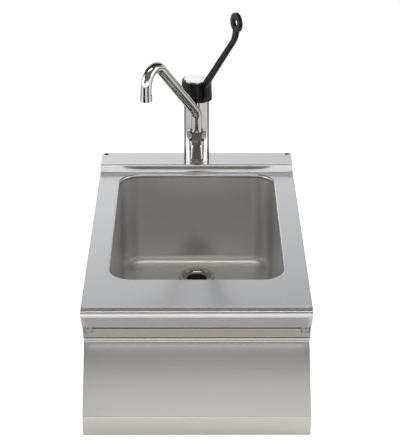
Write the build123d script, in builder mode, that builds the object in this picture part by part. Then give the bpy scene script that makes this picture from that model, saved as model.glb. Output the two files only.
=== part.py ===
from build123d import *
import math
import os

# Counter-top catering sink unit with a single-lever mixer tap, in millimetres.
# X runs to the right, Y to the rear and Z up, seen by someone standing at the sink.
# The origin is on the ground, at the centre of the rectangle that the body stands on.

os.makedirs("parts", exist_ok=True)

# Overall sizes of the body
unit_width = 400.0
unit_depth = 750.0
worktop_height = 232.0
nose_setback = 20.0
platform_rise = 14.0
platform_depth = 73.0

# Sheet thicknesses, fits and the overrun of cuts
worktop_sheet = 1.5
panel_sheet = 1.2
basin_sheet = 1.2
bracket_sheet = 1.5
running_gap = 0.05
seat_gap = 0.1
overrun = 2.0

# Worktop edge, from the platform to the lip under the nose
rear_flange = 40.0
platform_lean = 1.0
bead_setback = 21.5
bead_ramp = 2.5
bead_rise = 1.4
bead_width = 7.0
groove_ramp = 3.0
groove_depth = 1.6
nose_face = 9.4
nose_run = 40.0
lip_return = 24.0
fold_radius = 3.0
lip_turn_radius = 1.6
foot_radius = 3.0
bead_foot_radius = 1.5
bead_radius = 2.2
groove_radius = 1.0
nose_radius = 7.0
nose_heel_radius = 5.0

# Basin
basin_width = 315.0
basin_front_setback = 130.0
basin_rear_gap = 18.0
basin_depth = 196.0
basin_corner_radius = 45.0
basin_floor_radius = 18.0
basin_draft_deg = 1.0
rim_depth = 8.0
rim_radius = 3.0

# Front rail and front panel
rail_setback = 51.5
rail_top_drop = 58.5
rail_height = 18.5
rail_top_flange = 20.0
rail_bottom_flange = 22.0
rail_radius = 2.5
notch_width = 15.0
notch_depth = 7.5
notch_edge = 2.0
panel_top_drop = 83.0
panel_lip_setback = 59.5
panel_lip_flange = 10.0
panel_valley_setback = 69.5
panel_valley_drop = 93.0
band_height = 37.0
bottom_flange = 20.0
panel_lip_radius = 3.0
panel_valley_radius = 1.6
panel_band_radius = 4.0
flange_gap = 2.0

# Waste outlet
drain_rear_gap = 76.0
drain_flange_radius = 36.5
drain_flange_thickness = 1.5
drain_gasket_thickness = 1.0
drain_dish_radius = 30.0
drain_dish_depth = 6.5
drain_shoulder_radius = 31.5
drain_cone_drop = 8.0
drain_lock_radius = 24.6
drain_thread_radius = 23.9
drain_thread_gap = 1.0
drain_bore_radius = 21.0
drain_floor_clearance = 4.0
drain_hole_gap = 0.5
drain_washer_thickness = 2.0
drain_nut_radius = 40.0
drain_nut_rim = 4.0
drain_nut_height = 13.0
drain_nut_hex = 6.0
drain_nut_flats = 60.0

# Mixer column and what clamps it to the platform
tap_rear_setback = 33.0
column_radius = 26.2
column_height = 126.6
base_ring_radius = 26.6
base_ring_height = 3.0
base_gasket_thickness = 1.6
base_gasket_radius = 24.0
shank_radius = 15.0
shank_bore = 11.6
shank_engagement = 10.0
shank_reach = 58.0
tap_hole_gap = 2.0
stiffening_plate_width = 90.0
stiffening_plate_depth = 50.0
stiffening_plate_thickness = 3.0
clamp_washer_radius = 24.0
clamp_washer_thickness = 2.0
clamp_nut_height = 9.5
clamp_nut_flats = 46.0
inlet_radius = 4.9
inlet_spacing = 13.0
inlet_depth = 15.0
channel_radius = 3.5

# Outlet elbow, union nut and swivel spout
spout_offset = 46.0
elbow_radius = 13.6
elbow_dome_radius = 14.3
elbow_centre_rise = 20.3
elbow_seam_rise = 29.6
stub_top_rise = 56.0
socket_depth = 24.0
tube_radius = 10.5
tube_bore = 9.0
tube_collar_radius = 12.9
tube_collar_height = 3.0
glide_ring_height = 4.7
union_nut_flats = 34.6
union_nut_height = 29.0
union_nut_skirt = 6.0
union_nut_hex = 15.0
union_nut_grip = 6.0
union_nut_roof = 4.0
tube_hole_gap = 0.4
riser_bend_rise = 117.7
riser_bend_radius = 24.0
spout_reach = 194.0
spout_slope_deg = 43.3
spout_crest_radius = 33.0
spout_drop = 101.0
spout_rest_deg = -30.0
o_ring_depth = 1.15
o_ring_height = 2.4
o_ring_pitch = 6.0
o_ring_rise = 5.0
o_ring_count = 2
aerator_radius = 11.4
aerator_height = 12.0
aerator_lap = 8.0
aerator_opening = 9.6
aerator_disc = 3.0
aerator_hole = 0.9
aerator_inner_holes = 6
aerator_outer_holes = 12

# Cartridge inside the column
cartridge_radius = 17.5
cartridge_wall = 5.0
cartridge_height = 30.0
cartridge_floor = 8.0
cartridge_nut_radius = 21.0
cartridge_nut_bore = 14.0
cartridge_nut_height = 5.0
carrier_proud = 2.5
pin_radius = 2.0
pivot_drop = 3.0
stem_size = 8.0
stem_tail = 7.0
stem_rise = 33.0
slot_length = 15.0

# Lever
lever_rest_deg = 28.0
collar_gap = 2.0
collar_height = 40.2
collar_bottom_radius = 32.15
collar_top_radius = 30.5
collar_wall = 3.65
collar_cavity = 15.0
cap_radius = 25.6
cap_recess = 2.5
cap_proud = 2.5
bar_thickness = 7.5
bar_edge_radius = 1.6
bar_root_height = 15.0
bar_neck_height = 11.0
bar_tip_height = 22.0
bar_root_out = 23.0
bar_root_rise = 25.0
bar_bend_out = 162.0
bar_bend_rise = 173.4
ring_out = 164.5
ring_rise = 204.5
ring_radius = 19.2
ring_hole_radius = 7.5
rib_out = 37.0
rib_rise = 7.0
rib_thickness = 6.0
grub_radius = 2.5
grub_length = 14.0
grub_rise = 26.0

# Fixings
insert_side_gap = 10.1
insert_rear_gap = 10.5
insert_radius = 5.2
insert_bore = 2.6
insert_length = 12.0
insert_flange_radius = 7.5
insert_flange = 1.0
bracket_width = 13.0
bracket_foot = 6.0
bracket_drop = 20.0
screw_radius = 2.0
screw_head_radius = 3.6
screw_head_height = 1.8
screw_length = 8.0
screw_clearance = 0.2
back_screw_spacing = 150.0
service_width = 180.0
service_height = 90.0
service_rise = 75.0
service_corner = 10.0
corner_plate_size = 48.0
corner_plate_thickness = 3.0
corner_hole_radius = 4.5
corner_hole_inset = 37.0
stiffener_width_share = 0.6
stiffener_height = 15.0
stiffener_front_gap = 14.0

# Places that follow from the sizes
half_width = unit_width / 2
band_y = -unit_depth / 2
front_y = band_y + nose_setback
rear_y = unit_depth / 2
platform_top = worktop_height + platform_rise
platform_front_y = rear_y - platform_depth
foot_y = platform_front_y - platform_lean
platform_underside = platform_top - worktop_sheet
worktop_underside = worktop_height - worktop_sheet
inner_x = half_width - panel_sheet
basin_front_y = front_y + basin_front_setback
basin_rear_y = foot_y - basin_rear_gap
basin_length = basin_rear_y - basin_front_y
basin_middle_y = (basin_rear_y + basin_front_y) / 2
basin_floor = worktop_height - basin_depth
basin_underside = basin_floor - basin_sheet
rim_bottom = worktop_height - rim_depth
drain_y = basin_rear_y - drain_rear_gap
drain_hole_radius = drain_shoulder_radius + drain_hole_gap
rail_y = front_y + rail_setback
rail_top = worktop_height - rail_top_drop
rail_bottom = rail_top - rail_height
tap_y = rear_y - tap_rear_setback
body_bottom = platform_top + base_ring_height
column_top = body_bottom + column_height
riser_y = tap_y - spout_offset


def parallel_points(points, distance):
    """Corners of the line that runs to the left of another at one distance."""
    moved = []
    for index, (across, up) in enumerate(points):
        before = points[max(index - 1, 0)]
        after = points[min(index + 1, len(points) - 1)]
        arriving = (across - before[0], up - before[1])
        leaving = (after[0] - across, after[1] - up)
        if index == 0:
            arriving = leaving
        if index == len(points) - 1:
            leaving = arriving
        arriving_length = math.hypot(*arriving)
        leaving_length = math.hypot(*leaving)
        first = (-arriving[1] / arriving_length, arriving[0] / arriving_length)
        second = (-leaving[1] / leaving_length, leaving[0] / leaving_length)
        share = distance / (1 + first[0] * second[0] + first[1] * second[1])
        moved.append((across + share * (first[0] + second[0]), up + share * (first[1] + second[1])))
    return moved


def parallel_radii(points, radii, distance):
    """Bend radii of the parallel line: smaller inside a left turn, larger outside a right one."""
    changed = []
    for before, corner, after, radius in zip(points, points[1:], points[2:], radii):
        turn = (corner[0] - before[0]) * (after[1] - corner[1])
        turn -= (corner[1] - before[1]) * (after[0] - corner[0])
        changed.append(radius - math.copysign(distance, turn))
    return changed


def sheet_outline(points, radii, thickness):
    """Cross-section of a folded sheet, drawn into the open line block."""
    inner = parallel_points(points, thickness)
    FilletPolyline(*points, radius=radii)
    FilletPolyline(*inner, radius=parallel_radii(points, radii, thickness))
    Line(points[0], inner[0])
    Line(points[-1], inner[-1])


def heading_plane(y, heading_deg):
    """Upright plane through (0, y) that faces a heading right of straight ahead."""
    sine = math.sin(math.radians(heading_deg))
    cosine = math.cos(math.radians(heading_deg))
    return Plane(origin=(0, y, 0), x_dir=(sine, -cosine, 0), z_dir=(-cosine, -sine, 0))


def write_piece(part, name):
    """Label one finished piece and write it under its own name."""
    part.label = name
    export_step(part, f"parts/{name}.step")


# Worktop: one pressed sheet with the platform, the flat, the bead, the nose and its lip
bead_foot_y = front_y + bead_setback
bead_rear_y = bead_foot_y - bead_ramp
bead_front_y = bead_rear_y - bead_width
groove_y = bead_front_y - groove_ramp
bead_top = worktop_height + bead_rise
groove_z = worktop_height - groove_depth
heel_z = groove_z - nose_face
lip_y = front_y + nose_run
lip_z = heel_z - nose_run
platform_line = [
    (rear_y, platform_top - rear_flange),
    (rear_y, platform_top),
    (platform_front_y, platform_top),
    (foot_y, worktop_height),
]
nose_line = [
    (bead_foot_y, worktop_height),
    (bead_rear_y, bead_top),
    (bead_front_y, bead_top),
    (groove_y, groove_z),
    (front_y, groove_z),
    (front_y, heel_z),
    (lip_y, lip_z),
    (lip_y + lip_return, lip_z),
    (lip_y + lip_return, rail_top),
]
platform_radii = [fold_radius, fold_radius, foot_radius]
bead_radii = [bead_foot_radius, bead_radius, bead_radius, groove_radius]
nose_radii = [nose_radius, nose_heel_radius, fold_radius, lip_turn_radius]
worktop_line = platform_line + nose_line
worktop_radii = platform_radii + bead_radii + nose_radii
rim_width = basin_width + 2 * worktop_sheet
rim_length = basin_length + 2 * worktop_sheet
hole_x = half_width - insert_side_gap
hole_y = rear_y - insert_rear_gap
back_screw_z = platform_top - rear_flange + screw_length
back_screw_places = [(side * back_screw_spacing, back_screw_z) for side in (-1, 0, 1)]

with BuildPart() as worktop:
    with BuildSketch(Plane.YZ):
        with BuildLine():
            sheet_outline(worktop_line, worktop_radii, worktop_sheet)
        make_face()
    extrude(amount=half_width, both=True)
    # the platform stands in from both sides by the thickness of the side panels
    with BuildSketch(Plane.XY):
        for side in (-1, 1):
            with Locations((side * (half_width + inner_x) / 2, foot_y + rear_y / 2)):
                Rectangle(panel_sheet, rear_y + overrun)
    extrude(amount=platform_top + overrun, mode=Mode.SUBTRACT)
    # turned-down rim of the basin opening
    with BuildSketch(Plane.XY.offset(rim_bottom)):
        with Locations((0, basin_middle_y)):
            RectangleRounded(rim_width, rim_length, basin_corner_radius + worktop_sheet)
    extrude(amount=rim_depth - worktop_sheet / 2)
    with BuildSketch(Plane.XY.offset(rim_bottom - overrun)):
        with Locations((0, basin_middle_y)):
            RectangleRounded(basin_width, basin_length, basin_corner_radius)
    extrude(amount=rim_depth + overrun + overrun, mode=Mode.SUBTRACT)
    rim_face = worktop.faces().filter_by(Plane.XY).filter_by_position(
        Axis.Z, worktop_height - running_gap, worktop_height + running_gap
    )
    fillet(rim_face.sort_by(SortBy.AREA)[-1].inner_wires().edges(), radius=rim_radius)
    # tap hole and the holes of the two threaded inserts
    with BuildSketch(Plane.XY.offset(platform_top + overrun)):
        with Locations((0, tap_y)):
            Circle(shank_radius + tap_hole_gap)
        with Locations((-hole_x, hole_y), (hole_x, hole_y)):
            Circle(insert_radius)
    extrude(amount=-(worktop_sheet + overrun + overrun), mode=Mode.SUBTRACT)
    # countersunk holes of the back panel's screws
    with BuildSketch(Plane.XZ.offset(-rear_y)):
        with Locations(*back_screw_places):
            Circle(screw_head_radius)
    extrude(amount=worktop_sheet, mode=Mode.SUBTRACT)
write_piece(worktop.part, "worktop")

# Front rail under the nose: a folded channel with a notch at each end
rail_line = [
    (rail_y + rail_top_flange, rail_top),
    (rail_y, rail_top),
    (rail_y, rail_bottom),
    (rail_y + rail_bottom_flange, rail_bottom),
]
with BuildPart() as front_rail:
    with BuildSketch(Plane.YZ):
        with BuildLine():
            sheet_outline(rail_line, [rail_radius, rail_radius], panel_sheet)
        make_face()
    extrude(amount=half_width, both=True)
    with BuildSketch(Plane.XZ.offset(-rail_y - rail_top_flange - overrun)):
        for side in (-1, 1):
            with Locations((side * (half_width - notch_edge - notch_width / 2), rail_top + overrun)):
                Rectangle(notch_width, notch_depth + overrun, align=(Align.CENTER, Align.MAX))
    extrude(amount=rail_top_flange + overrun + overrun, mode=Mode.SUBTRACT)
write_piece(front_rail.part, "front_rail")

# Front panel: lip, valley, slanted face, upright band and bottom flange in one sheet
panel_top = worktop_height - panel_top_drop
panel_lip_y = front_y + panel_lip_setback
panel_valley_y = front_y + panel_valley_setback
panel_line = [
    (panel_lip_y + panel_lip_flange, rail_bottom),
    (panel_lip_y + panel_lip_flange, panel_top),
    (panel_lip_y, panel_top),
    (panel_valley_y, worktop_height - panel_valley_drop),
    (band_y, band_height),
    (band_y, 0),
    (band_y + bottom_flange, 0),
]
panel_radii = [lip_turn_radius, panel_lip_radius, panel_valley_radius, panel_band_radius, fold_radius]
with BuildPart() as front_panel:
    with BuildSketch(Plane.YZ):
        with BuildLine():
            sheet_outline(panel_line, panel_radii, panel_sheet)
        make_face()
    extrude(amount=half_width, both=True)
write_piece(front_panel.part, "front_panel")

# Side panels: flat plates that close the body's sides up to the nose, with a bottom flange
inner_nose_line = parallel_points(nose_line[3:7], worktop_sheet)
inner_nose_radii = parallel_radii(nose_line[3:7], nose_radii[:2], worktop_sheet)
inner_panel_line = parallel_points(panel_line, panel_sheet)
lip_back_y = lip_y + lip_return + worktop_sheet
for side, name in ((-1, "left_side_panel"), (1, "right_side_panel")):
    with BuildPart() as side_panel:
        with BuildSketch(Plane.YZ.offset(side * inner_x)):
            with BuildLine():
                FilletPolyline(*inner_nose_line, radius=inner_nose_radii)
                Polyline(
                    inner_nose_line[-1],
                    (lip_back_y, inner_nose_line[-1][1]),
                    (lip_back_y, rail_top - panel_sheet),
                    (rail_y + panel_sheet, rail_top - panel_sheet),
                    (rail_y + panel_sheet, rail_bottom + panel_sheet),
                    (inner_panel_line[0][0], rail_bottom + panel_sheet),
                    inner_panel_line[1],
                    *inner_panel_line[3:6],
                    (band_y + bottom_flange, panel_sheet),
                    (band_y + bottom_flange, 0),
                    (rear_y, 0),
                    (rear_y, worktop_height),
                    (foot_y, worktop_height),
                    (foot_y, worktop_underside),
                    (bead_foot_y, worktop_underside),
                    inner_nose_line[0],
                )
            make_face()
        extrude(amount=side * panel_sheet)
        with BuildSketch(Plane.XY):
            with Locations((side * inner_x, (band_y + rear_y) / 2)):
                Rectangle(
                    bottom_flange,
                    rear_y - band_y - 2 * (bottom_flange + panel_sheet + worktop_sheet + flange_gap),
                    align=(Align.MAX if side > 0 else Align.MIN, Align.CENTER),
                )
        extrude(amount=panel_sheet)
        add(worktop.part, mode=Mode.SUBTRACT)
        add(front_rail.part, mode=Mode.SUBTRACT)
        add(front_panel.part, mode=Mode.SUBTRACT)
    write_piece(side_panel.part, name)

# Back panel: set inside the worktop's rear flange, with a service opening for the pipes
back_y = rear_y - worktop_sheet
back_top = platform_top - rear_flange + 2 * screw_length
with BuildPart() as back_panel:
    with BuildSketch(Plane.XZ.offset(-back_y)):
        with Locations((0, 0)):
            Rectangle(2 * inner_x, back_top, align=(Align.CENTER, Align.MIN))
        with Locations((0, service_rise)):
            RectangleRounded(service_width, service_height, service_corner, mode=Mode.SUBTRACT)
        with Locations(*back_screw_places):
            Circle(screw_radius + screw_clearance, mode=Mode.SUBTRACT)
    extrude(amount=panel_sheet)
    with BuildSketch(Plane.XY):
        with Locations((0, back_y)):
            Rectangle(2 * inner_x, bottom_flange, align=(Align.CENTER, Align.MAX))
    extrude(amount=panel_sheet)
write_piece(back_panel.part, "back_panel")

# Platform ends: two plates that close the platform's sides, inside the side panels
inner_platform_line = parallel_points(platform_line, worktop_sheet)
inner_platform_radii = parallel_radii(platform_line[1:], platform_radii[1:2], worktop_sheet)
for side, name in ((-1, "platform_end_left"), (1, "platform_end_right")):
    with BuildPart() as platform_end:
        with BuildSketch(Plane.YZ.offset(side * inner_x)):
            with BuildLine():
                FilletPolyline(*inner_platform_line[1:], radius=inner_platform_radii)
                Polyline(
                    inner_platform_line[-1],
                    (inner_platform_line[-1][0], rim_bottom),
                    (back_y, rim_bottom),
                    inner_platform_line[1],
                )
            make_face()
        extrude(amount=-side * panel_sheet)
        add(worktop.part, mode=Mode.SUBTRACT)
        add(back_panel.part, mode=Mode.SUBTRACT)
    write_piece(platform_end.part, name)

# Back panel screws: countersunk heads flush in the worktop's rear flange
with BuildPart() as back_screws:
    with BuildSketch(Plane.XZ.offset(-rear_y)):
        with Locations(*back_screw_places):
            Circle(screw_head_radius - screw_clearance)
    extrude(amount=worktop_sheet)
    with BuildSketch(Plane.XZ.offset(-back_y)):
        with Locations(*back_screw_places):
            Circle(screw_radius)
    extrude(amount=screw_length)
write_piece(back_screws.part, "back_screws")

# Nose brackets: small angles behind the rail's notches that hold the nose's lip, and their screws
bracket_x = half_width - notch_edge - notch_width / 2
bracket_y = rail_y + panel_sheet
nose_screw_z = rail_top - notch_depth / 2
for side, name in ((-1, "nose_bracket_left"), (1, "nose_bracket_right")):
    with BuildPart() as nose_bracket:
        with BuildSketch(Plane.YZ.offset(side * bracket_x)):
            with Locations((bracket_y, lip_z)):
                Rectangle(bracket_sheet, bracket_drop, align=(Align.MIN, Align.MAX))
                Rectangle(bracket_foot, bracket_sheet, align=(Align.MIN, Align.MAX))
        extrude(amount=bracket_width / 2, both=True)
        with BuildSketch(Plane.XZ.offset(-bracket_y + overrun)):
            with Locations((side * bracket_x, nose_screw_z)):
                Circle(screw_radius + running_gap)
        extrude(amount=-(bracket_sheet + overrun + overrun), mode=Mode.SUBTRACT)
        add(front_rail.part, mode=Mode.SUBTRACT)
    write_piece(nose_bracket.part, name)

with BuildPart() as nose_screws:
    for side in (-1, 1):
        with BuildSketch(Plane.XZ.offset(-bracket_y)):
            with Locations((side * bracket_x, nose_screw_z)):
                Circle(screw_head_radius)
        extrude(amount=screw_head_height)
        with BuildSketch(Plane.XZ.offset(-bracket_y)):
            with Locations((side * bracket_x, nose_screw_z)):
                Circle(screw_radius)
        extrude(amount=-screw_length)
write_piece(nose_screws.part, "nose_screws")

# Basin: a drawn bowl butt-welded under the worktop's rim
def basin_block(wall):
    """Solid block of the bowl's shape, larger than its hollow by one wall all round."""
    with BuildPart() as block:
        with BuildSketch(Plane.XY.offset(rim_bottom)):
            with Locations((0, basin_middle_y)):
                RectangleRounded(basin_width + 2 * wall, basin_length + 2 * wall, basin_corner_radius + wall)
        extrude(amount=-(rim_bottom - basin_floor + wall), taper=basin_draft_deg)
        fillet(block.faces().sort_by(Axis.Z)[0].edges(), radius=basin_floor_radius + wall)
    return block.part


basin_hollow = basin_block(0)
with BuildPart() as basin:
    add(basin_block(basin_sheet))
    add(basin_hollow, mode=Mode.SUBTRACT)
    with BuildSketch(Plane.XY.offset(basin_underside - overrun)):
        with Locations((0, drain_y)):
            Circle(drain_hole_radius)
    extrude(amount=basin_sheet + overrun + overrun, mode=Mode.SUBTRACT)
write_piece(basin.part, "basin")

# Worktop stiffeners: two channels along the basin, under the worktop
stiffener_inner_x = basin_width / 2 + worktop_sheet
stiffener_x = (stiffener_inner_x + inner_x) / 2
stiffener_width = stiffener_width_share * (inner_x - stiffener_inner_x)
stiffener_length = basin_length - 2 * stiffener_front_gap
for side, name in ((-1, "worktop_stiffener_left"), (1, "worktop_stiffener_right")):
    with BuildPart() as stiffener:
        with BuildSketch(Plane.XZ.offset(-basin_middle_y)):
            with Locations((side * stiffener_x, worktop_underside)):
                Rectangle(stiffener_width, stiffener_height, align=(Align.CENTER, Align.MAX))
            with Locations((side * stiffener_x, worktop_underside - bracket_sheet)):
                Rectangle(
                    stiffener_width - 2 * bracket_sheet,
                    stiffener_height,
                    align=(Align.CENTER, Align.MAX),
                    mode=Mode.SUBTRACT,
                )
        extrude(amount=stiffener_length / 2, both=True)
    write_piece(stiffener.part, name)

# Base corner plates: four drilled plates on the bottom flanges, to bolt the unit to a stand
corner_hole_x = inner_x - corner_hole_inset
corner_hole_front = band_y + corner_hole_inset
corner_hole_rear = back_y - corner_hole_inset
corner_centre_x = inner_x - corner_plate_size / 2
corner_places = {
    "base_corner_front_left": (-1, band_y + panel_sheet + corner_plate_size / 2, corner_hole_front),
    "base_corner_front_right": (1, band_y + panel_sheet + corner_plate_size / 2, corner_hole_front),
    "base_corner_rear_left": (-1, back_y - panel_sheet - corner_plate_size / 2, corner_hole_rear),
    "base_corner_rear_right": (1, back_y - panel_sheet - corner_plate_size / 2, corner_hole_rear),
}
for name, (side, plate_y, bolt_y) in corner_places.items():
    with BuildPart() as base_corner:
        with BuildSketch(Plane.XY.offset(panel_sheet)):
            with Locations((side * corner_centre_x, plate_y)):
                Rectangle(corner_plate_size, corner_plate_size)
            with Locations((side * corner_hole_x, bolt_y)):
                Circle(corner_hole_radius, mode=Mode.SUBTRACT)
        extrude(amount=corner_plate_thickness)
        add(front_panel.part, mode=Mode.SUBTRACT)
    write_piece(base_corner.part, name)

# Threaded inserts in the platform's rear corners, for a splash back or a joining strip
for side, name in ((-1, "threaded_insert_left"), (1, "threaded_insert_right")):
    with BuildPart() as threaded_insert:
        with BuildSketch(Plane.XY.offset(platform_top)):
            with Locations((side * hole_x, hole_y)):
                Circle(insert_radius)
        extrude(amount=-insert_length)
        with BuildSketch(Plane.XY.offset(platform_underside)):
            with Locations((side * hole_x, hole_y)):
                Circle(insert_flange_radius)
        extrude(amount=-insert_flange)
        with BuildSketch(Plane.XY.offset(platform_top + overrun)):
            with Locations((side * hole_x, hole_y)):
                Circle(insert_bore)
        extrude(amount=-(insert_length + overrun + overrun), mode=Mode.SUBTRACT)
        chamfer(threaded_insert.faces().sort_by(Axis.Z)[-1].edges(), length=insert_flange)
    write_piece(threaded_insert.part, name)

# Waste outlet: flange with its dish, bore and threaded tail in one turned piece
drain_seat = basin_floor + drain_gasket_thickness
drain_top = drain_seat + drain_flange_thickness
dish_bottom = drain_top - drain_dish_depth
cone_bottom = drain_seat - drain_cone_drop
drain_nut_top = basin_underside - drain_washer_thickness
drain_nut_bottom = drain_nut_top - drain_nut_height
drain_nut_bore = drain_lock_radius + running_gap
thread_top = drain_nut_bottom - drain_thread_gap
drain_plane = Plane(origin=(0, drain_y, 0), x_dir=(1, 0, 0), z_dir=(0, -1, 0))
drain_axis = Axis((0, drain_y, 0), (0, 0, 1))
with BuildPart() as drain_flange:
    with BuildSketch(drain_plane):
        with BuildLine():
            Polyline(
                (drain_dish_radius, drain_top),
                (drain_flange_radius, drain_top),
                (drain_flange_radius, drain_seat),
                (drain_shoulder_radius, drain_seat),
                (drain_lock_radius, cone_bottom),
                (drain_lock_radius, thread_top),
                (drain_thread_radius, thread_top),
                (drain_thread_radius, drain_floor_clearance),
                (drain_bore_radius, drain_floor_clearance),
                (drain_bore_radius, dish_bottom),
            )
            TangentArc(
                (drain_bore_radius, dish_bottom),
                (drain_dish_radius, drain_top),
                tangent=(drain_bore_radius, drain_cone_drop / 2),
            )
        make_face()
    revolve(axis=drain_axis)
write_piece(drain_flange.part, "drain_flange")

drain_rings = {
    "drain_gasket": (drain_flange_radius - seat_gap, basin_floor, drain_gasket_thickness),
    "drain_washer": (drain_nut_radius - seat_gap, drain_nut_top, drain_washer_thickness),
}
for name, (outer_radius, bottom, height) in drain_rings.items():
    with BuildPart() as drain_ring:
        with BuildSketch(Plane.XY.offset(bottom)):
            with Locations((0, drain_y)):
                Circle(outer_radius)
                Circle(drain_hole_radius, mode=Mode.SUBTRACT)
        extrude(amount=height)
    write_piece(drain_ring.part, name)

# Lock nut: a bell that bridges the hole in the floor, with a hexagon below it
with BuildPart() as drain_lock_nut:
    with BuildSketch(drain_plane):
        with BuildLine():
            Polyline(
                (drain_nut_bore, drain_nut_bottom),
                (drain_nut_bore, cone_bottom - drain_hole_gap),
                (drain_hole_radius, drain_nut_top),
                (drain_nut_radius, drain_nut_top),
                (drain_nut_radius, drain_nut_top - drain_nut_rim),
                (drain_nut_flats / 2, drain_nut_bottom + drain_nut_hex),
                (drain_nut_flats / 2, drain_nut_bottom),
                close=True,
            )
        make_face()
    revolve(axis=drain_axis)
    with BuildSketch(Plane.XY.offset(drain_nut_bottom)):
        with Locations((0, drain_y)):
            RegularPolygon(drain_nut_flats / 2, 6, major_radius=False)
            Circle(drain_nut_bore, mode=Mode.SUBTRACT)
    extrude(amount=drain_nut_hex)
write_piece(drain_lock_nut.part, "drain_lock_nut")

# Mixer base: ring and gasket on the platform, plate, washer and nut below it
with BuildPart() as tap_base_ring:
    with BuildSketch(Plane.XY.offset(platform_top)):
        with Locations((0, tap_y)):
            Circle(base_ring_radius)
            Circle(shank_radius + seat_gap, mode=Mode.SUBTRACT)
    extrude(amount=base_ring_height)
    with BuildSketch(Plane.XY.offset(platform_top)):
        with Locations((0, tap_y)):
            Circle(base_gasket_radius + seat_gap)
    extrude(amount=base_gasket_thickness, mode=Mode.SUBTRACT)
    top_edges = tap_base_ring.faces().sort_by(Axis.Z)[-1].edges()
    fillet(top_edges.sort_by(SortBy.RADIUS)[-1], radius=base_gasket_thickness)
write_piece(tap_base_ring.part, "tap_base_ring")

plate_top = platform_underside
washer_top = plate_top - stiffening_plate_thickness
clamp_nut_top = washer_top - clamp_washer_thickness
with BuildPart() as tap_base_gasket:
    with BuildSketch(Plane.XY.offset(platform_top)):
        with Locations((0, tap_y)):
            Circle(base_gasket_radius)
            Circle(shank_radius + seat_gap, mode=Mode.SUBTRACT)
    extrude(amount=base_gasket_thickness)
write_piece(tap_base_gasket.part, "tap_base_gasket")

with BuildPart() as tap_stiffening_plate:
    with BuildSketch(Plane.XY.offset(plate_top)):
        with Locations((0, tap_y)):
            RectangleRounded(stiffening_plate_width, stiffening_plate_depth, service_corner)
            Circle(shank_radius + tap_hole_gap, mode=Mode.SUBTRACT)
    extrude(amount=-stiffening_plate_thickness)
write_piece(tap_stiffening_plate.part, "tap_stiffening_plate")

with BuildPart() as tap_clamp_washer:
    with BuildSketch(Plane.XY.offset(washer_top)):
        with Locations((0, tap_y)):
            Circle(clamp_washer_radius)
            Circle(shank_radius + seat_gap, mode=Mode.SUBTRACT)
    extrude(amount=-clamp_washer_thickness)
write_piece(tap_clamp_washer.part, "tap_clamp_washer")

with BuildPart() as tap_clamp_nut:
    with BuildSketch(Plane.XY.offset(clamp_nut_top)):
        with Locations((0, tap_y)):
            RegularPolygon(clamp_nut_flats / 2, 6, major_radius=False)
            Circle(shank_radius + running_gap, mode=Mode.SUBTRACT)
    extrude(amount=-clamp_nut_height)
write_piece(tap_clamp_nut.part, "tap_clamp_nut")

with BuildPart() as tap_shank:
    with BuildSketch(Plane.XY.offset(body_bottom + shank_engagement)):
        with Locations((0, tap_y)):
            Circle(shank_radius)
            Circle(shank_bore, mode=Mode.SUBTRACT)
    extrude(amount=-(shank_engagement + base_ring_height + shank_reach))
write_piece(tap_shank.part, "tap_shank")

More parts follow.
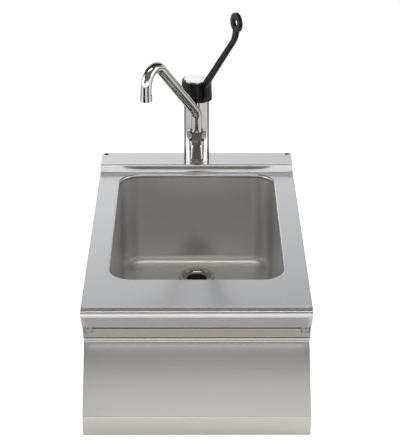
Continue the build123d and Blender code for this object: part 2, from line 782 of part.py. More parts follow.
# Tap body: column, outlet elbow, water channels and the cartridge's pocket in one casting
tap_axis = Axis((0, tap_y, 0), (0, 0, 1))
elbow_z = platform_top + elbow_centre_rise
elbow_seam = platform_top + elbow_seam_rise
stub_top = platform_top + stub_top_rise
socket_bottom = stub_top - socket_depth
pocket_bottom = column_top - cartridge_nut_height - cartridge_height
inlet_bottom = body_bottom + shank_engagement
inlet_places = [(side * inlet_spacing / 2, tap_y) for side in (-1, 1)]
with BuildPart() as tap_body:
    with BuildSketch(Plane.XY.offset(body_bottom)):
        with Locations((0, tap_y)):
            Circle(column_radius)
    extrude(amount=column_height)
    with BuildSketch(Plane.XZ.offset(-riser_y)):
        with Locations((0, elbow_z)):
            Circle(elbow_dome_radius)
    extrude(amount=-spout_offset)
    with BuildSketch(Plane.YZ):
        with BuildLine():
            CenterArc((riser_y, elbow_z), elbow_dome_radius, 90, 180)
            Line((riser_y, elbow_z + elbow_dome_radius), (riser_y, elbow_z - elbow_dome_radius))
        make_face()
    revolve(axis=Axis((0, riser_y, elbow_z), (0, 0, 1)))
    with BuildSketch(Plane.XY.offset(elbow_z)):
        with Locations((0, riser_y)):
            Circle(elbow_dome_radius)
    extrude(amount=elbow_seam - elbow_z)
    with BuildSketch(Plane.XY.offset(elbow_seam)):
        with Locations((0, riser_y)):
            Circle(elbow_radius)
    extrude(amount=stub_top - elbow_seam)
    # socket of the swivel spout and the way to it
    with BuildSketch(Plane.XY.offset(stub_top)):
        with Locations((0, riser_y)):
            Circle(tube_radius + running_gap)
    extrude(amount=-socket_depth, mode=Mode.SUBTRACT)
    with BuildSketch(Plane.XY.offset(elbow_z)):
        with Locations((0, riser_y)):
            Circle(channel_radius)
        with Locations((0, tap_y - column_radius / 2)):
            Circle(channel_radius)
    extrude(amount=socket_bottom - elbow_z + running_gap, mode=Mode.SUBTRACT)
    with BuildSketch(Plane.XY.offset(elbow_z)):
        with Locations((0, tap_y - column_radius / 2)):
            Circle(channel_radius)
    extrude(amount=pocket_bottom - elbow_z, mode=Mode.SUBTRACT)
    with BuildSketch(Plane.XZ.offset(-riser_y)):
        with Locations((0, elbow_z)):
            Circle(channel_radius)
    extrude(amount=-(spout_offset - column_radius / 2), mode=Mode.SUBTRACT)
    # shank pocket, threaded inlets and supply channels
    with BuildSketch(Plane.XY.offset(body_bottom)):
        with Locations((0, tap_y)):
            Circle(shank_radius)
    extrude(amount=shank_engagement, mode=Mode.SUBTRACT)
    with BuildSketch(Plane.XY.offset(inlet_bottom)):
        with Locations(*inlet_places):
            Circle(inlet_radius)
    extrude(amount=inlet_depth, mode=Mode.SUBTRACT)
    with BuildSketch(Plane.XY.offset(inlet_bottom)):
        with Locations(*inlet_places):
            Circle(channel_radius)
    extrude(amount=pocket_bottom - inlet_bottom, mode=Mode.SUBTRACT)
    # pocket of the cartridge and of its nut
    with BuildSketch(Plane.XY.offset(pocket_bottom)):
        with Locations((0, tap_y)):
            Circle(cartridge_radius + running_gap)
    extrude(amount=cartridge_height, mode=Mode.SUBTRACT)
    with BuildSketch(Plane.XY.offset(column_top)):
        with Locations((0, tap_y)):
            Circle(cartridge_nut_radius + running_gap)
    extrude(amount=-cartridge_nut_height, mode=Mode.SUBTRACT)
write_piece(tap_body.part, "tap_body")

# Cartridge: fixed housing, nut, turning carrier, pivot pin and the stem that the lever clamps
carrier_radius = cartridge_radius - cartridge_wall
carrier_bottom = pocket_bottom + cartridge_floor
carrier_top = column_top + carrier_proud
pivot_z = column_top - pivot_drop
with BuildPart() as cartridge_housing:
    with BuildSketch(Plane.XY.offset(pocket_bottom)):
        with Locations((0, tap_y)):
            Circle(cartridge_radius)
    extrude(amount=cartridge_height)
    with BuildSketch(Plane.XY.offset(carrier_bottom)):
        with Locations((0, tap_y)):
            Circle(carrier_radius + running_gap)
    extrude(amount=cartridge_height, mode=Mode.SUBTRACT)
    with BuildSketch(Plane.XY.offset(pocket_bottom)):
        with Locations(*inlet_places, (0, tap_y - column_radius / 2)):
            Circle(channel_radius)
    extrude(amount=cartridge_floor / 2, mode=Mode.SUBTRACT)
write_piece(cartridge_housing.part, "cartridge_housing")

with BuildPart() as cartridge_nut:
    with BuildSketch(Plane.XY.offset(column_top)):
        with Locations((0, tap_y)):
            Circle(cartridge_nut_radius)
            Circle(cartridge_nut_bore, mode=Mode.SUBTRACT)
    extrude(amount=-cartridge_nut_height)
write_piece(cartridge_nut.part, "cartridge_nut")

lever_plane = heading_plane(tap_y, lever_rest_deg)
lever_direction = lever_plane.x_dir


def lever_level(height):
    """Level plane on the tap's axis with its X along the lever."""
    return Plane(origin=(0, tap_y, height), x_dir=lever_direction, z_dir=(0, 0, 1))


pivot_line = Plane(origin=(0, tap_y, pivot_z), x_dir=lever_direction, z_dir=lever_plane.z_dir)
with BuildPart() as cartridge_carrier:
    with BuildSketch(lever_level(carrier_bottom)):
        Circle(carrier_radius)
    extrude(amount=carrier_top - carrier_bottom)
    with BuildSketch(lever_level(pivot_z - stem_tail - stem_size / 2)):
        Rectangle(slot_length, stem_size + 2 * seat_gap)
    extrude(amount=carrier_top - pivot_z + stem_tail + stem_size, mode=Mode.SUBTRACT)
    with BuildSketch(pivot_line):
        Circle(pin_radius + running_gap)
    extrude(amount=carrier_radius + overrun, both=True, mode=Mode.SUBTRACT)
write_piece(cartridge_carrier.part, "cartridge_carrier")

with BuildPart() as lever_pivot_pin:
    with BuildSketch(pivot_line):
        Circle(pin_radius)
    extrude(amount=carrier_radius - seat_gap - pin_radius / 2, both=True)
write_piece(lever_pivot_pin.part, "lever_pivot_pin")

with BuildPart() as cartridge_stem:
    with BuildSketch(lever_level(pivot_z - stem_tail)):
        Rectangle(stem_size, stem_size)
    extrude(amount=stem_tail + stem_rise)
    with BuildSketch(pivot_line):
        Circle(pin_radius + running_gap)
    extrude(amount=stem_size, both=True, mode=Mode.SUBTRACT)
write_piece(cartridge_stem.part, "cartridge_stem")

# Lever: conical collar, bar, ring and root rib in one black moulding
collar_bottom = column_top + collar_gap
collar_top = collar_bottom + collar_height
cavity_radius = collar_bottom_radius - collar_wall
cavity_top = collar_bottom + collar_cavity
cap_seat = collar_top - cap_recess
grub_plane = Plane(origin=(0, tap_y, collar_bottom + grub_rise), x_dir=(0, 0, 1), z_dir=lever_direction)
bar_heading = math.atan2(bar_bend_rise - bar_root_rise, bar_bend_out - bar_root_out)
neck_heading = math.atan2(ring_rise - bar_bend_rise, ring_out - bar_bend_out)


def beside(out, rise, heading, distance):
    """Point beside the bar's middle line, to its left, above the collar's foot."""
    return (out - distance * math.sin(heading), collar_bottom + rise + distance * math.cos(heading))


bend_heading = (bar_heading + neck_heading) / 2
bar_outline = [
    beside(bar_root_out, bar_root_rise, bar_heading, bar_root_height / 2),
    beside(bar_bend_out, bar_bend_rise, bend_heading, bar_neck_height / 2),
    beside(ring_out, ring_rise, neck_heading, bar_tip_height / 2),
    beside(ring_out, ring_rise, neck_heading, -bar_tip_height / 2),
    beside(bar_bend_out, bar_bend_rise, bend_heading, -bar_neck_height / 2),
    beside(bar_root_out, bar_root_rise, bar_heading, -bar_root_height / 2),
]
with BuildPart() as lever_bar:
    with BuildSketch(lever_plane):
        with BuildLine():
            FilletPolyline(
                *bar_outline, radius=[0, 2 * ring_radius, 0, 0, 2 * ring_radius, 0], close=True
            )
        make_face()
        with Locations((ring_out, collar_bottom + ring_rise)):
            Circle(ring_radius)
            Circle(ring_hole_radius, mode=Mode.SUBTRACT)
    extrude(amount=bar_thickness / 2, both=True)
    flat_sides = lever_bar.faces().filter_by(lever_plane)
    fillet(flat_sides.edges(), radius=bar_edge_radius)

with BuildPart() as lever_handle:
    with BuildSketch(lever_plane):
        with BuildLine():
            Polyline(
                (cavity_radius, collar_bottom),
                (collar_bottom_radius, collar_bottom),
                (collar_top_radius, collar_top),
                (cap_radius + seat_gap, collar_top),
                (cap_radius + seat_gap, cap_seat),
                (0, cap_seat),
                (0, cavity_top),
                (cavity_radius, cavity_top),
                close=True,
            )
        make_face()
    revolve(axis=tap_axis)
    with BuildSketch(lever_plane):
        with BuildLine():
            Polyline(
                (cavity_radius + collar_wall / 2, collar_bottom + rib_rise),
                (rib_out, collar_bottom + rib_rise + rib_thickness),
                (rib_out + rib_thickness, collar_bottom + bar_bend_rise * rib_out / bar_bend_out),
                (cavity_radius + collar_wall / 2, collar_bottom + bar_bend_rise * rib_out / bar_bend_out),
                close=True,
            )
        make_face()
    extrude(amount=rib_thickness / 2, both=True)
    add(lever_bar.part)
    with BuildSketch(lever_level(cap_seat)):
        Circle(cap_radius + seat_gap)
    extrude(amount=cap_recess + cap_proud + overrun, mode=Mode.SUBTRACT)
    with BuildSketch(lever_level(cavity_top)):
        Rectangle(stem_size + running_gap, stem_size + running_gap)
    extrude(amount=pivot_z + stem_rise - cavity_top + running_gap, mode=Mode.SUBTRACT)
    with BuildSketch(grub_plane):
        Circle(grub_radius)
    extrude(amount=-(collar_bottom_radius + overrun), mode=Mode.SUBTRACT)
write_piece(lever_handle.part, "lever_handle")

with BuildPart() as handle_cap:
    with BuildSketch(lever_level(cap_seat)):
        Circle(cap_radius)
    extrude(amount=cap_recess + cap_proud)
    fillet(handle_cap.faces().sort_by(Axis.Z)[-1].edges(), radius=cap_proud / 2)
write_piece(handle_cap.part, "handle_cap")

with BuildPart() as handle_grub_screw:
    with BuildSketch(grub_plane.offset(-stem_size / 2)):
        Circle(grub_radius - running_gap)
    extrude(amount=-grub_length)
    with BuildSketch(grub_plane.offset(-stem_size / 2 - grub_length)):
        RegularPolygon(grub_radius / 2, 6)
    extrude(amount=grub_radius, mode=Mode.SUBTRACT)
write_piece(handle_grub_screw.part, "handle_grub_screw")

# Union nut: hexagon with a tapered skirt, screwed on the outlet stub
nut_bottom = stub_top - union_nut_grip
nut_top = nut_bottom + union_nut_height
hex_bottom = nut_top - union_nut_hex
nut_corner_radius = union_nut_flats / math.sqrt(3)
skirt_radius = union_nut_flats / 2 - bar_edge_radius
riser_plane = heading_plane(riser_y, 0)
riser_axis = Axis((0, riser_y, 0), (0, 0, 1))
thread_radius = elbow_radius + running_gap
with BuildPart() as union_nut:
    with BuildSketch(Plane.XY.offset(hex_bottom - union_nut_skirt)):
        with Locations((0, riser_y)):
            RegularPolygon(union_nut_flats / 2, 6, major_radius=False)
    extrude(amount=union_nut_hex + union_nut_skirt)
    with BuildSketch(riser_plane):
        with BuildLine():
            Polyline(
                (0, nut_bottom),
                (elbow_radius + worktop_sheet, nut_bottom),
                (skirt_radius, hex_bottom - union_nut_skirt),
                (nut_corner_radius, hex_bottom),
                (nut_corner_radius, nut_top - bead_radius),
                (skirt_radius, nut_top),
                (0, nut_top),
                close=True,
            )
        make_face()
    revolve(axis=riser_axis, mode=Mode.INTERSECT)
    with BuildSketch(riser_plane):
        with BuildLine():
            Polyline(
                (0, nut_bottom),
                (elbow_radius + worktop_sheet, nut_bottom),
                (skirt_radius, hex_bottom - union_nut_skirt),
                (skirt_radius, hex_bottom),
                (0, hex_bottom),
                close=True,
            )
        make_face()
    revolve(axis=riser_axis)
    with BuildSketch(Plane.XY.offset(nut_bottom)):
        with Locations((0, riser_y)):
            Circle(thread_radius)
    extrude(amount=union_nut_height - union_nut_roof, mode=Mode.SUBTRACT)
    with BuildSketch(Plane.XY.offset(nut_bottom)):
        with Locations((0, riser_y)):
            Circle(tube_radius + tube_hole_gap)
    extrude(amount=union_nut_height, mode=Mode.SUBTRACT)
write_piece(union_nut.part, "union_nut")

with BuildPart() as glide_ring:
    with BuildSketch(Plane.XY.offset(stub_top)):
        with Locations((0, riser_y)):
            Circle(elbow_radius)
            Circle(tube_radius + running_gap, mode=Mode.SUBTRACT)
    extrude(amount=glide_ring_height)
write_piece(glide_ring.part, "glide_ring")

# Spout: a bent tube with a collar that the union nut traps
spout_plane = heading_plane(riser_y, spout_rest_deg)
tube_bottom = socket_bottom + tube_collar_height / 2
bend_z = platform_top + riser_bend_rise
crest_z = bend_z + spout_reach * math.tan(math.radians(spout_slope_deg))
outlet_z = crest_z - spout_drop
tube_end = outlet_z + aerator_height - aerator_lap
with BuildPart() as spout_tube:
    with BuildLine(spout_plane) as spout_path:
        FilletPolyline(
            (0, tube_bottom),
            (0, bend_z),
            (spout_reach, crest_z),
            (spout_reach, tube_end),
            radius=[riser_bend_radius, spout_crest_radius],
        )
    with BuildSketch(Plane.XY.offset(tube_bottom)):
        with Locations((0, riser_y)):
            Circle(tube_radius)
            Circle(tube_bore, mode=Mode.SUBTRACT)
    sweep(path=spout_path.line)
    with BuildSketch(Plane.XY.offset(stub_top + glide_ring_height + seat_gap)):
        with Locations((0, riser_y)):
            Circle(tube_collar_radius)
            Circle(tube_radius - running_gap, mode=Mode.SUBTRACT)
    extrude(amount=tube_collar_height)
    for index in range(o_ring_count):
        with BuildSketch(Plane.XY.offset(tube_bottom + o_ring_rise + index * o_ring_pitch)):
            with Locations((0, riser_y)):
                Circle(tube_radius + overrun)
                Circle(tube_radius - o_ring_depth, mode=Mode.SUBTRACT)
        extrude(amount=o_ring_height, mode=Mode.SUBTRACT)
write_piece(spout_tube.part, "spout_tube")

with BuildPart() as spout_o_rings:
    for index in range(o_ring_count):
        with BuildSketch(Plane.XY.offset(tube_bottom + o_ring_rise + index * o_ring_pitch)):
            with Locations((0, riser_y)):
                Circle(tube_radius)
                Circle(tube_radius - o_ring_depth, mode=Mode.SUBTRACT)
        extrude(amount=o_ring_height)
write_piece(spout_o_rings.part, "spout_o_rings")

# Aerator at the spout's end
outlet_point = spout_plane.from_local_coords((spout_reach, outlet_z, 0))
outlet_plane = Plane(origin=outlet_point, x_dir=(1, 0, 0), z_dir=(0, 0, 1))
with BuildPart() as aerator_shell:
    with BuildSketch(outlet_plane):
        Circle(aerator_radius)
    extrude(amount=aerator_height)
    fillet(aerator_shell.edges().sort_by(Axis.Z)[-1], radius=(aerator_radius - tube_radius) / 2)
    with BuildSketch(outlet_plane.offset(aerator_height - aerator_lap)):
        Circle(tube_radius + running_gap)
    extrude(amount=aerator_height, mode=Mode.SUBTRACT)
    with BuildSketch(outlet_plane):
        Circle(aerator_opening)
    extrude(amount=aerator_height, mode=Mode.SUBTRACT)
write_piece(aerator_shell.part, "aerator_shell")

with BuildPart() as aerator_insert:
    with BuildSketch(outlet_plane.offset((aerator_height - aerator_lap - aerator_disc) / 2)):
        Circle(aerator_opening)
        with PolarLocations(aerator_opening / 3, aerator_inner_holes):
            Circle(aerator_hole, mode=Mode.SUBTRACT)
        with PolarLocations(2 * aerator_opening / 3, aerator_outer_holes):
            Circle(aerator_hole, mode=Mode.SUBTRACT)
    extrude(amount=aerator_disc)
write_piece(aerator_insert.part, "aerator_insert")
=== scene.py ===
import math

import bpy
import numpy as np
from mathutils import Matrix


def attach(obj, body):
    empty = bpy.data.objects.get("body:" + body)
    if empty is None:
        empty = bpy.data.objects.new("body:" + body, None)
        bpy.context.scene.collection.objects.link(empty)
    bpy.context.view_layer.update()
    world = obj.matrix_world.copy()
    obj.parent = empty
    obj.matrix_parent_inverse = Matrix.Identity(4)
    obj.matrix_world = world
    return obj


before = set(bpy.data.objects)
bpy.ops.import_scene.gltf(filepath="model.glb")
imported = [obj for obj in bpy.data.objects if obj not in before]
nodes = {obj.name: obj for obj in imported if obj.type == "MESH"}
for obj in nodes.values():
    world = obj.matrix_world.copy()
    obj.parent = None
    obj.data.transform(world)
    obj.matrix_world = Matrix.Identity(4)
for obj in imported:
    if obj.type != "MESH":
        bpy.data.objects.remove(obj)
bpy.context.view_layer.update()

# Camera: it stands about 3.2 m from the sink and 1.5 m above its foot, and looks down at it with
# a long lens, so that the sides of the worktop draw together towards the platform.
FOCAL_PIXELS = 1654.0
IMAGE_WIDTH = 400.0
IMAGE_HEIGHT = 445.0
FILM_HEIGHT = 36.0
VIEW_DEPTH = 100.0
CAMERA_PLACE = (0.0, -2.8955, 1.4880)
CAMERA_PITCH_DEG = 23.224
UNIT_AXIS_PIXEL = 196.4

camera_data = bpy.data.cameras.new("camera")
camera_data.sensor_width = FILM_HEIGHT  # the frame stands upright, so this is its longer side
camera_data.lens = FOCAL_PIXELS * FILM_HEIGHT / IMAGE_HEIGHT
camera_data.clip_end = VIEW_DEPTH
camera = bpy.data.objects.new("camera", camera_data)
camera.location = CAMERA_PLACE
yaw = math.atan((UNIT_AXIS_PIXEL - IMAGE_WIDTH / 2) / FOCAL_PIXELS)
camera.rotation_euler = (math.radians(90 - CAMERA_PITCH_DEG), 0, yaw)
bpy.context.scene.collection.objects.link(camera)
bpy.context.scene.camera = camera
bpy.context.scene.view_settings.view_transform = "Standard"


# Studio: white paper stands behind the sink, up to about 22 degrees above the horizon, and is
# dimmer on its right. Dark curtains beside it draw the dark lines on the chrome, light walls
# stand on both sides of the sink, and the room in front is pale low down and dim above.
def add_node(tree, kind, inputs=None, **settings):
    """New node: its settings, and its inputs as numbers, colours or other nodes' outputs."""
    node = tree.nodes.new(kind)
    for setting, value in settings.items():
        setattr(node, setting, value)
    for socket, value in (inputs or {}).items():
        if isinstance(value, bpy.types.NodeSocket):
            tree.links.new(value, node.inputs[socket])
        else:
            node.inputs[socket].default_value = value
    return node


def add_math(tree, operation, *inputs):
    """Result of one operation on numbers or on other nodes' outputs."""
    return add_node(tree, "ShaderNodeMath", dict(enumerate(inputs)), operation=operation).outputs[0]


def tinted(colour, strength):
    """Colour times a strength, with full cover."""
    return (*(strength * part for part in colour), 1)


COOL = (0.985, 0.99, 1.0)
WARM = (1.0, 0.985, 0.96)
GREY = (1.0, 1.0, 1.0)
STUDIO_LEVEL = 1.3

# What stands where, as (height, level, colour): straight down is 0, the horizon 0.5, straight up 1.
CEILING = [(0.975, 0.10, WARM), (1.0, 0.10, WARM)]
PAPER_LEFT = [
    (0.0, 0.60, WARM), (0.50, 0.72, COOL), (0.60, 0.84, COOL), (0.685, 0.86, COOL),
    (0.715, 0.52, COOL), (0.745, 0.26, COOL), (0.85, 0.03, WARM), (0.95, 0.03, WARM),
]
PAPER_RIGHT = [
    (0.0, 0.58, WARM), (0.50, 0.60, COOL), (0.60, 0.62, COOL), (0.685, 0.62, COOL),
    (0.715, 0.46, COOL), (0.745, 0.24, COOL), (0.85, 0.03, WARM), (0.95, 0.03, WARM),
]
CURTAIN = [
    (0.0, 0.58, WARM), (0.50, 0.58, WARM), (0.56, 0.42, WARM), (0.60, 0.02, GREY),
    (0.94, 0.03, GREY),
]
SIDE_WALL = [
    (0.0, 0.58, WARM), (0.50, 0.90, WARM), (0.58, 1.70, WARM), (0.74, 1.70, WARM),
    (0.78, 0.10, WARM), (0.95, 0.10, WARM),
]
ROOM = [
    (0.0, 0.58, WARM), (0.50, 1.30, WARM), (0.60, 1.20, WARM), (0.66, 0.24, WARM),
    (0.85, 0.12, WARM), (0.95, 0.14, WARM),
]
# How far each reaches, as (bearing, share, colour): straight back is 0, straight forward 1.
PAPER_REACH = [(0.0, 1.0, GREY), (0.12, 1.0, GREY), (0.17, 0.0, GREY)]
CURTAIN_REACH = [(0.12, 0.0, GREY), (0.17, 1.0, GREY), (0.33, 1.0, GREY), (0.38, 0.0, GREY)]
SIDE_REACH = [(0.34, 0.0, GREY), (0.39, 1.0, GREY), (0.60, 1.0, GREY), (0.68, 0.0, GREY)]
# Where the paper's right half takes over: straight left is 0, straight right 1.
RIGHT_HALF = [(0.44, 0.0, GREY), (0.56, 1.0, GREY)]

world = bpy.data.worlds.new("studio")
bpy.context.scene.world = world
world.use_nodes = True
studio_tree = world.node_tree
studio_tree.nodes.clear()
direction = add_node(studio_tree, "ShaderNodeTexCoord").outputs["Generated"]
parts = add_node(studio_tree, "ShaderNodeSeparateXYZ", {0: direction}).outputs
height = add_math(studio_tree, "MULTIPLY_ADD", parts["Z"], 0.5, 0.5)
across = add_math(studio_tree, "MULTIPLY_ADD", parts["X"], 0.5, 0.5)
sideways = add_math(studio_tree, "ABSOLUTE", parts["X"])
angle_from_back = add_math(studio_tree, "ARCTAN2", sideways, parts["Y"])
bearing = add_math(studio_tree, "DIVIDE", angle_from_back, math.pi)


def studio_ramp(source, stops):
    """Colour ramp through (position, level, colour) stops, read at a height or a bearing."""
    ramp = add_node(studio_tree, "ShaderNodeValToRGB", {0: source})
    elements = ramp.color_ramp.elements
    while len(elements) < len(stops):
        elements.new(0.5)
    for element, (position, level, colour) in zip(elements, stops):
        element.position = position
        element.color = tinted(colour, level)
    return ramp.outputs[0]


def put_before(rest, wall, reach, source):
    """Wall of the studio put before the rest of it, as far as it reaches."""
    shares = {"Factor": studio_ramp(source, reach), "A": rest, "B": wall}
    return add_node(studio_tree, "ShaderNodeMix", shares, data_type="RGBA").outputs["Result"]


left, right, room, side_wall, curtain = (
    studio_ramp(height, stops + CEILING)
    for stops in (PAPER_LEFT, PAPER_RIGHT, ROOM, SIDE_WALL, CURTAIN)
)
paper = put_before(left, right, RIGHT_HALF, across)
studio = put_before(room, side_wall, SIDE_REACH, bearing)
studio = put_before(studio, curtain, CURTAIN_REACH, bearing)
studio = put_before(studio, paper, PAPER_REACH, bearing)
background = add_node(
    studio_tree, "ShaderNodeBackground", {"Color": studio, "Strength": STUDIO_LEVEL}
)
add_node(studio_tree, "ShaderNodeOutputWorld", {"Surface": background.outputs[0]})

# Floor: a plain pale sheet under the unit. Seen by the camera or in a reflection it is white
# where nothing shades it, and it keeps the unit's soft shadow.
FLOOR_HALF = 20.0
SHADED_RADIUS = 0.8
WHITE_RADIUS = 1.5
FLOOR_PAINT = (0.75, 0.75, 0.75, 1)
FLOOR_IN_METAL = (1.12, 1.095, 1.045, 1)
FLOOR_IN_CAMERA = (2.4, 2.4, 2.4, 1)
WHITE = (1, 1, 1, 1)


def empty_material(name):
    """Material whose tree has no nodes yet."""
    material = bpy.data.materials.new(name)
    material.use_nodes = True
    material.node_tree.nodes.clear()
    return material


def flat_sheet(name, corners, material):
    """Flat sheet of one face through four corners."""
    mesh = bpy.data.meshes.new(name)
    mesh.from_pydata(corners.tolist(), [], [(0, 1, 2, 3)])
    mesh.materials.append(material)
    sheet = bpy.data.objects.new(name, mesh)
    bpy.context.scene.collection.objects.link(sheet)
    return sheet


floor_material = empty_material("floor")
tree = floor_material.node_tree
ray = add_node(tree, "ShaderNodeLightPath").outputs
seen = add_math(tree, "MAXIMUM", ray["Is Camera Ray"], ray["Is Glossy Ray"])
seen = add_math(tree, "MAXIMUM", seen, ray["Is Transmission Ray"])
place = add_node(tree, "ShaderNodeTexCoord").outputs["Object"]
distance = add_node(tree, "ShaderNodeVectorMath", {0: place}, operation="LENGTH").outputs["Value"]
outside = add_node(
    tree, "ShaderNodeMapRange",
    {"Value": distance, "From Min": SHADED_RADIUS, "From Max": WHITE_RADIUS},
    interpolation_type="SMOOTHSTEP",
)
pale = add_node(
    tree, "ShaderNodeMix",
    {"Factor": ray["Is Camera Ray"], "A": FLOOR_IN_METAL, "B": FLOOR_IN_CAMERA},
    data_type="RGBA",
)
paint = add_node(tree, "ShaderNodeBsdfDiffuse", {"Color": FLOOR_PAINT}).outputs[0]
near = add_node(tree, "ShaderNodeBsdfDiffuse", {"Color": pale.outputs["Result"]}).outputs[0]
far = add_node(tree, "ShaderNodeEmission", {"Color": WHITE}).outputs[0]
white = add_node(tree, "ShaderNodeMixShader", {0: outside.outputs[0], 1: near, 2: far}).outputs[0]
surface = add_node(tree, "ShaderNodeMixShader", {0: seen, 1: paint, 2: white}).outputs[0]
add_node(tree, "ShaderNodeOutputMaterial", {"Surface": surface})

floor_corners = FLOOR_HALF * np.array([(-1, -1, 0), (1, -1, 0), (1, 1, 0), (-1, 1, 0)])
floor = flat_sheet("floor", floor_corners, floor_material)


# Softboxes: a wide one above the sink gives the soft shadow on the floor. A small one over the
# basin shows in its walls and folds, and a low one in front shows in the foot of the sloping panel.
def softbox(name, place, aim, size, watts, mirrored):
    """Area lamp at a place, turned to look at a point, and shown in reflections or not."""
    lamp_data = bpy.data.lights.new(name, "AREA")
    lamp_data.shape = "RECTANGLE"
    lamp_data.size, lamp_data.size_y = size
    lamp_data.energy = watts
    lamp_data.color = WARM
    lamp = bpy.data.objects.new(name, lamp_data)
    lamp.location = place
    look = np.array(aim, float) - np.array(place, float)
    tilt = math.acos(-look[2] / np.linalg.norm(look))
    lamp.rotation_euler = (tilt, 0, math.atan2(-look[0], look[1]))
    lamp.visible_camera = False
    lamp.visible_glossy = mirrored
    bpy.context.scene.collection.objects.link(lamp)


softbox(
    "softbox_above", place=(0.25, -0.35, 2.2), aim=(0, -0.1, 0.2), size=(2.6, 1.5),
    watts=20.0, mirrored=False,
)
softbox(
    "softbox_basin", place=(0, 0.10, 2.2), aim=(0, 0.20, 0.1), size=(1.4, 0.36),
    watts=6.0, mirrored=True,
)
softbox(
    "softbox_front", place=(0.05, -1.10, 0.80), aim=(0.05, -0.35, 0.07), size=(0.85, 0.46),
    watts=0.92, mirrored=True,
)


# Flags: a grey and a black card on each side, behind and before the sink, which only its metal
# sees. They draw the dark edges of the tap's column and the dark lines down the end of its spout.
def flag(name, side, inner, outer, top, level):
    """Upright card from the floor to its top, between two places on one side of the unit."""
    material = empty_material(name)
    glow = add_node(material.node_tree, "ShaderNodeEmission", {"Color": tinted(GREY, level)})
    add_node(material.node_tree, "ShaderNodeOutputMaterial", {"Surface": glow.outputs[0]})
    corners = np.array([(*inner, 0), (*outer, 0), (*outer, top), (*inner, top)])
    card = flat_sheet(name, corners * (side, 1, 1), material)
    card.visible_camera = False
    card.visible_diffuse = False
    card.visible_transmission = False
    card.visible_shadow = False


for end, side in (("left", -1), ("right", 1)):
    flag("flag_back_" + end, side, inner=(0.22, 0.80), outer=(1.30, 0.62), top=0.30, level=0.40)
    flag("flag_front_" + end, side, inner=(0.42, -0.95), outer=(1.20, -0.55), top=0.40, level=0.02)

# Worktop: one sheet of stainless steel, pressed up to a low platform at the rear and folded over
# to a round nose in front. It is brushed from front to rear.
BRUSHED_TO_REAR = (1400, 5, 1400)
BRUSH_DETAIL = 4.0
BRUSH_ROUGHNESS = 0.6
BRUSH_TINTS = (0.94, 1.05)
GRAIN_HEIGHT = 0.0001


def set_shader(material, socket, value):
    """Set a value that holds all over the surface on the shader's own socket."""
    material.node_tree.nodes["Principled BSDF"].inputs[socket].default_value = value


def finish_surface(material, grain, colour, tints, roughness, spread, cut):
    """Let a grain from 0 to 1 shade the colour from one tint to the other, change the roughness
    by the spread at most, and cut the surface."""
    tree = material.node_tree
    shader = tree.nodes["Principled BSDF"]
    gloss = add_node(
        tree, "ShaderNodeMapRange",
        {"Value": grain, "To Min": roughness - spread, "To Max": roughness + spread},
    )
    shade = add_node(
        tree, "ShaderNodeMix",
        {"Factor": grain, "A": tinted(colour, tints[0]), "B": tinted(colour, tints[1])},
        data_type="RGBA",
    )
    relief = add_node(
        tree, "ShaderNodeBump", {"Strength": cut, "Distance": GRAIN_HEIGHT, "Height": grain}
    )
    tree.links.new(shade.outputs["Result"], shader.inputs["Base Color"])
    tree.links.new(gloss.outputs[0], shader.inputs["Roughness"])
    tree.links.new(relief.outputs[0], shader.inputs["Normal"])


def brushed_metal(name, colour, roughness, spread, grain, cut):
    """Metal whose noise is stretched along its grain: few changes along it and many across, as
    changes in a metre along x, y and z."""
    material = bpy.data.materials.new(name)
    material.use_nodes = True
    tree = material.node_tree
    place = add_node(tree, "ShaderNodeTexCoord").outputs["Object"]
    stretched = add_node(tree, "ShaderNodeMapping", {"Vector": place, "Scale": grain}).outputs[0]
    lines = add_node(
        tree, "ShaderNodeTexNoise",
        {"Vector": stretched, "Scale": 1.0, "Detail": BRUSH_DETAIL, "Roughness": BRUSH_ROUGHNESS},
    )
    finish_surface(material, lines.outputs[0], colour, BRUSH_TINTS, roughness, spread, cut)
    set_shader(material, "Metallic", 1.0)
    return material


def finish(names, material):
    """Give one material to each named CAD node."""
    for name in names:
        nodes[name].data.materials.clear()
        nodes[name].data.materials.append(material)


worktop_steel = brushed_metal(
    "worktop_steel", colour=(0.725, 0.725, 0.735), roughness=0.20, spread=0.02,
    grain=BRUSHED_TO_REAR, cut=0.003,
)
finish(["worktop"], worktop_steel)

# Basin: a bowl drawn from one sheet of stainless steel and butt-welded under the worktop's rim.
# It is duller than the worktop, with a fine grain in level lines round its walls.
BASIN_GRAIN = (40, 40, 1400)
basin_steel = brushed_metal(
    "basin_steel", colour=(0.74, 0.735, 0.72), roughness=0.40, spread=0.02,
    grain=BASIN_GRAIN, cut=0.004,
)
finish(["basin"], basin_steel)

# Stiffeners: two channels folded from steel sheet and fixed under the worktop along the basin.
# They are out of sight and keep the dull, even surface of the sheet.
PLAIN_STEEL_GRAIN = (400, 400, 400)
plain_steel = brushed_metal(
    "plain_steel", colour=(0.62, 0.62, 0.63), roughness=0.35, spread=0.05,
    grain=PLAIN_STEEL_GRAIN, cut=0.1,
)
finish(["worktop_stiffener_left", "worktop_stiffener_right"], plain_steel)

# Front rail: a channel folded from stainless sheet and set back under the nose, with a notch at
# each end. It is brushed from side to side. Its colour, darker than the worktop's, is painted
# shade for the shade under the nose.
BRUSHED_SIDEWAYS = (5, 1400, 1400)
rail_steel_painted_shade = brushed_metal(
    "rail_steel_painted_shade", colour=(0.36, 0.355, 0.35), roughness=0.24, spread=0.02,
    grain=BRUSHED_SIDEWAYS, cut=0.003,
)
finish(["front_rail"], rail_steel_painted_shade)

# Nose brackets: two small steel angles behind the rail's notches, which hold the nose's lip with
# a screw each. They are plain and unbrushed. Their dark colour is painted shade for the shade in
# the notches under the nose.
bracket_steel_painted_shade = brushed_metal(
    "bracket_steel_painted_shade", colour=(0.36, 0.355, 0.34), roughness=0.3, spread=0.05,
    grain=PLAIN_STEEL_GRAIN, cut=0.1,
)
finish(["nose_bracket_left", "nose_bracket_right", "nose_screws"], bracket_steel_painted_shade)

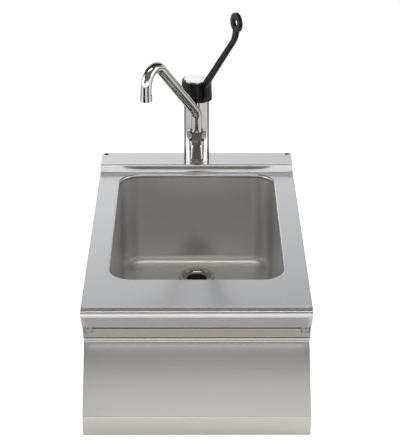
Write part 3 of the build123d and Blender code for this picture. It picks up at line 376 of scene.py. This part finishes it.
# Front and back panels: stainless sheets brushed from side to side. The front one is folded to a
# valley, a slanted face and an upright band. Countersunk screws hold the back one in place.
STEEL = (0.63, 0.63, 0.635)
satin_steel = brushed_metal(
    "satin_steel", colour=STEEL, roughness=0.21, spread=0.02, grain=BRUSHED_SIDEWAYS, cut=0.003,
)
finish(["front_panel", "back_panel"], satin_steel)
finish(["back_screws"], plain_steel)

# Sides: flat stainless plates with a bottom flange close the body, and two small ones inside them
# close the ends of the platform. All are brushed from front to rear, a little coarser.
SIDE_GRAIN = (900, 6, 900)
side_steel = brushed_metal(
    "side_steel", colour=STEEL, roughness=0.22, spread=0.025, grain=SIDE_GRAIN, cut=0.05,
)
finish(
    ["left_side_panel", "right_side_panel", "platform_end_left", "platform_end_right"], side_steel
)

# Base corners: four drilled plates of plain steel on the bottom flanges, which bolt the unit to
# a stand.
finish(
    [
        "base_corner_front_left", "base_corner_front_right",
        "base_corner_rear_left", "base_corner_rear_right",
    ],
    plain_steel,
)

# Threaded inserts: two small turned steel sleeves, pressed into the platform's rear corners from
# below, level with its top. A splash back or a joining strip screws into them. Their dark colour
# is painted shade for the shade inside their holes.
INSERT_GRAIN = (500, 500, 500)
insert_steel_painted_shade = brushed_metal(
    "insert_steel_painted_shade", colour=(0.16, 0.155, 0.15), roughness=0.3, spread=0.05,
    grain=INSERT_GRAIN, cut=0.1,
)
finish(["threaded_insert_left", "threaded_insert_right"], insert_steel_painted_shade)

# Waste: a flange with its dish and threaded tail, turned from one piece of stainless steel. It
# sits on a rubber gasket, and a rubber washer and a black plastic nut clamp it from below.
DRAIN_GRAIN = (300, 300, 300)
MOULD_DETAIL = 3.0
MOULD_TINTS = (0.85, 1.15)
MOULD_SPREAD = 0.05
MOULD_CUT = 0.15
drain_steel = brushed_metal(
    "drain_steel", colour=(0.47, 0.46, 0.44), roughness=0.20, spread=0.02,
    grain=DRAIN_GRAIN, cut=0.03,
)
finish(["drain_flange"], drain_steel)


def moulded_material(name, colour, roughness, changes):
    """Moulded plastic or rubber: one colour with a fine even grain of so many changes a metre."""
    material = bpy.data.materials.new(name)
    material.use_nodes = True
    tree = material.node_tree
    place = add_node(tree, "ShaderNodeTexCoord").outputs["Object"]
    grain = add_node(
        tree, "ShaderNodeTexNoise", {"Vector": place, "Scale": changes, "Detail": MOULD_DETAIL}
    )
    finish_surface(
        material, grain.outputs[0], colour, MOULD_TINTS, roughness, MOULD_SPREAD, MOULD_CUT
    )
    return material


rubber = moulded_material("rubber", colour=(0.02, 0.02, 0.02), roughness=0.7, changes=900)
finish(["drain_gasket", "drain_washer"], rubber)
black_plastic = moulded_material(
    "black_plastic", colour=(0.005, 0.005, 0.0055), roughness=0.22, changes=1500
)
set_shader(black_plastic, "Specular IOR Level", 0.27)
finish(["drain_lock_nut"], black_plastic)

# Waste sleeve: a soft black rubber ring inside the drain's tail, which seals the plug. It is
# moulded and pressed in from above.
WASTE_PLACE = (0.0, 0.207)
SLEEVE_STEPS = 96
# (radius, height) from its foot up the outside, over the rounded rim and down the bore.
SLEEVE_OUTLINE = np.array([
    (0.0208, 0.0050), (0.0208, 0.0300), (0.0206, 0.0304),
    (0.0200, 0.0302), (0.0197, 0.0296), (0.0197, 0.0050),
])


def turned_ring(name, outline, place, steps, material):
    """Closed outline turned once round an upright axis: x = radius times cos angle and y = radius
    times sin angle, both from the axis, and z = height. Its grid of points closes both ways."""
    angle = np.linspace(0, 2 * math.pi, steps, endpoint=False)
    radius, height = outline[:, :1], outline[:, 1:]
    grid = np.stack(
        [radius * np.cos(angle) + place[0], radius * np.sin(angle) + place[1], height + 0 * angle],
        axis=-1,
    )
    point = np.arange(len(outline) * steps).reshape(len(outline), steps)
    above = np.roll(point, -1, axis=0)
    faces = np.stack(
        [point, np.roll(point, -1, axis=1), np.roll(above, -1, axis=1), above], axis=-1
    ).reshape(-1, 4)
    mesh = bpy.data.meshes.new(name)
    mesh.from_pydata(grid.reshape(-1, 3).tolist(), [], faces.tolist())
    mesh.polygons.foreach_set("use_smooth", np.full(len(faces), True))
    mesh.materials.append(material)
    ring = bpy.data.objects.new(name, mesh)
    bpy.context.scene.collection.objects.link(ring)
    return ring


sleeve_rubber = moulded_material(
    "sleeve_rubber", colour=(0.022, 0.016, 0.012), roughness=0.45, changes=900
)
sleeve = turned_ring("waste_sleeve", SLEEVE_OUTLINE, WASTE_PLACE, SLEEVE_STEPS, sleeve_rubber)
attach(sleeve, "unit")

# Foot of the tap: a chromed ring on a rubber gasket on the platform. Below the platform a steel
# plate, a washer and a brass nut on a threaded brass shank pull it tight.
CHROME_GRAIN = (40, 40, 40)
BRASS_GRAIN = (200, 200, 900)
chrome = brushed_metal(
    "chrome", colour=(0.64, 0.64, 0.65), roughness=0.03, spread=0.01, grain=CHROME_GRAIN, cut=0.001,
)
set_shader(chrome, "Specular Tint", (0.7, 0.7, 0.7, 1))
brass = brushed_metal(
    "brass", colour=(0.78, 0.60, 0.30), roughness=0.25, spread=0.03, grain=BRASS_GRAIN, cut=0.1,
)
finish(["tap_base_ring"], chrome)
finish(["tap_base_gasket"], rubber)
finish(["tap_stiffening_plate", "tap_clamp_washer"], plain_steel)
finish(["tap_shank", "tap_clamp_nut"], brass)

# Tap body: the column, its outlet elbow and the water channels in one brass casting, ground,
# polished and chromed. The shank is screwed into it from below.
finish(["tap_body"], chrome)

# Cartridge: a white plastic housing in the column, held by a brass nut. Its carrier turns, and
# the brass stem that the lever clamps tilts in the carrier on a steel pin.
white_plastic = moulded_material(
    "white_plastic", colour=(0.82, 0.82, 0.80), roughness=0.4, changes=800
)
finish(["cartridge_housing", "cartridge_carrier"], white_plastic)
finish(["cartridge_nut", "cartridge_stem"], brass)
finish(["lever_pivot_pin"], plain_steel)

# Lever: a conical collar, a bar and a ring in one black plastic moulding, clamped on the stem by
# a steel grub screw. A bright chromed cap is pressed into its top.
cap_chrome = brushed_metal(
    "cap_chrome", colour=(0.95, 0.95, 0.96), roughness=0.06, spread=0.01,
    grain=CHROME_GRAIN, cut=0.01,
)
finish(["lever_handle"], black_plastic)
finish(["handle_grub_screw"], plain_steel)
finish(["handle_cap"], cap_chrome)

# Spout: a bent and chromed brass tube, whose collar a chromed union nut holds on the outlet. It
# turns on a white plastic ring, rubber O-rings seal it, and an aerator is screwed in its end.
finish(["spout_tube", "union_nut", "aerator_shell"], chrome)
finish(["glide_ring", "aerator_insert"], white_plastic)
finish(["spout_o_rings"], rubber)
